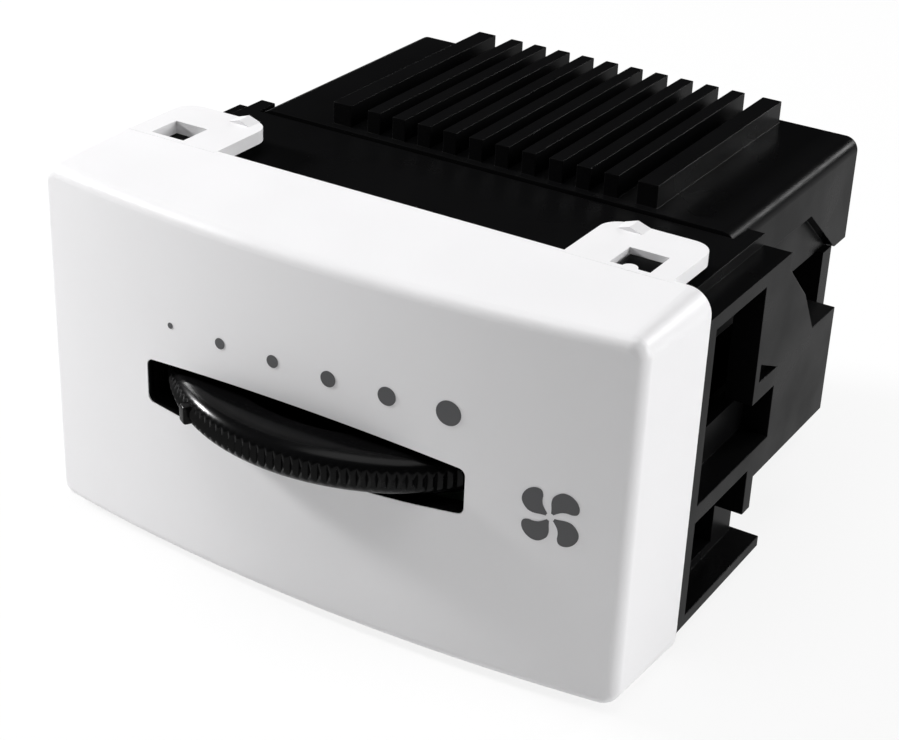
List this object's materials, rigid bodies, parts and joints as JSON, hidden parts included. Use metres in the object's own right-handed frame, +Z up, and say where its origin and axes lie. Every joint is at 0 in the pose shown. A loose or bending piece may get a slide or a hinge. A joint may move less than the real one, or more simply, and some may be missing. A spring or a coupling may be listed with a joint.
{
  "type": "fan speed control switch",
  "caption": "Modular wall fan speed regulator: bowed white front panel with a slotted thumbwheel, snap tabs, black ribbed chassis and finned rear housing with clamp terminals.",
  "frame": {"origin": "centre of the front panel's rear plane, where the module seats on its wall frame", "axes": "+X to the right seen from the front, +Y rearwards into the wall, +Z up"},
  "size_m": [0.045, 0.0455, 0.0261],
  "materials": {
    "white_plastic": "satin white moulding",
    "black_plastic": "black moulding with a slight sheen",
    "wheel_plastic": "black moulding with a knurled rim",
    "pot_plastic": "dark thermoset",
    "carbon_film": "printed carbon",
    "spring_brass": "rolled spring strip",
    "board_laminate": "dark green solder mask",
    "sink_aluminium": "mill finish plate",
    "moulding_compound": "epoxy moulding",
    "plated_steel": "zinc plated",
    "ferrite": "sintered ferrite",
    "copper_wire": "enamelled copper",
    "capacitor_case": "dipped film case",
    "resistor_coat": "lacquer coat",
    "diode_glass": "painted glass body",
    "fuse_ceramic": "glazed ceramic",
    "terminal_brass": "stamped strip"
  },
  "bodies": {
    "housing": {"front_panel": "white_plastic", "wheel_bezel": "black_plastic", "chassis_frame": "black_plastic", "base_tray": "black_plastic", "finned_cover": "black_plastic", "potentiometer_case": "pot_plastic", "potentiometer_lid": "pot_plastic", "resistive_track": "carbon_film", "circuit_board": "board_laminate", "heat_sink": "sink_aluminium", "triac": "moulding_compound", "triac_screw": "plated_steel", "choke_core": "ferrite", "choke_winding": "copper_wire", "film_capacitor": "capacitor_case", "timing_capacitor": "capacitor_case", "series_resistor": "resistor_coat", "snubber_resistor": "resistor_coat", "trigger_diode": "diode_glass", "fuse_link": "fuse_ceramic", "contact_strip_right": "terminal_brass", "contact_strip_left": "terminal_brass", "cover_screw_right": "plated_steel", "cover_screw_left": "plated_steel"},
    "thumbwheel": {"thumbwheel": "wheel_plastic", "wheel_spindle": "pot_plastic", "wiper": "spring_brass"},
    "terminal_screw_right": {"terminal_screw_right": "plated_steel"},
    "clamp_cage_right": {"clamp_cage_right": "plated_steel"},
    "terminal_screw_left": {"terminal_screw_left": "plated_steel"},
    "clamp_cage_left": {"clamp_cage_left": "plated_steel"}
  },
  "joints": [
    {"name": "wheel_turn", "type": "hinge", "parent": "housing", "child": "thumbwheel", "pos_m": [-0.0005, 0.0027, 0], "axis": [0, 0, 1], "range_deg": [-12, 68]},
    {"name": "screw_turn_right", "type": "hinge", "parent": "housing", "child": "terminal_screw_right", "pos_m": [0.0134, 0.029, 0.0009], "axis": [0, -1, 0], "range_deg": [0, 1153]},
    {"name": "cage_slide_right", "type": "slide", "parent": "housing", "child": "clamp_cage_right", "axis": [0, 1, 0], "range_m": [0, 0.0016]},
    {"name": "screw_turn_left", "type": "hinge", "parent": "housing", "child": "terminal_screw_left", "pos_m": [-0.0134, 0.029, 0.0009], "axis": [0, -1, 0], "range_deg": [0, 1153]},
    {"name": "cage_slide_left", "type": "slide", "parent": "housing", "child": "clamp_cage_left", "axis": [0, 1, 0], "range_m": [0, 0.0016]}
  ],
  "couplings": [
    {"joint": "screw_turn_right", "follows": "cage_slide_right", "rad_per_m": 12566},
    {"joint": "screw_turn_left", "follows": "cage_slide_left", "rad_per_m": 12566}
  ]
}
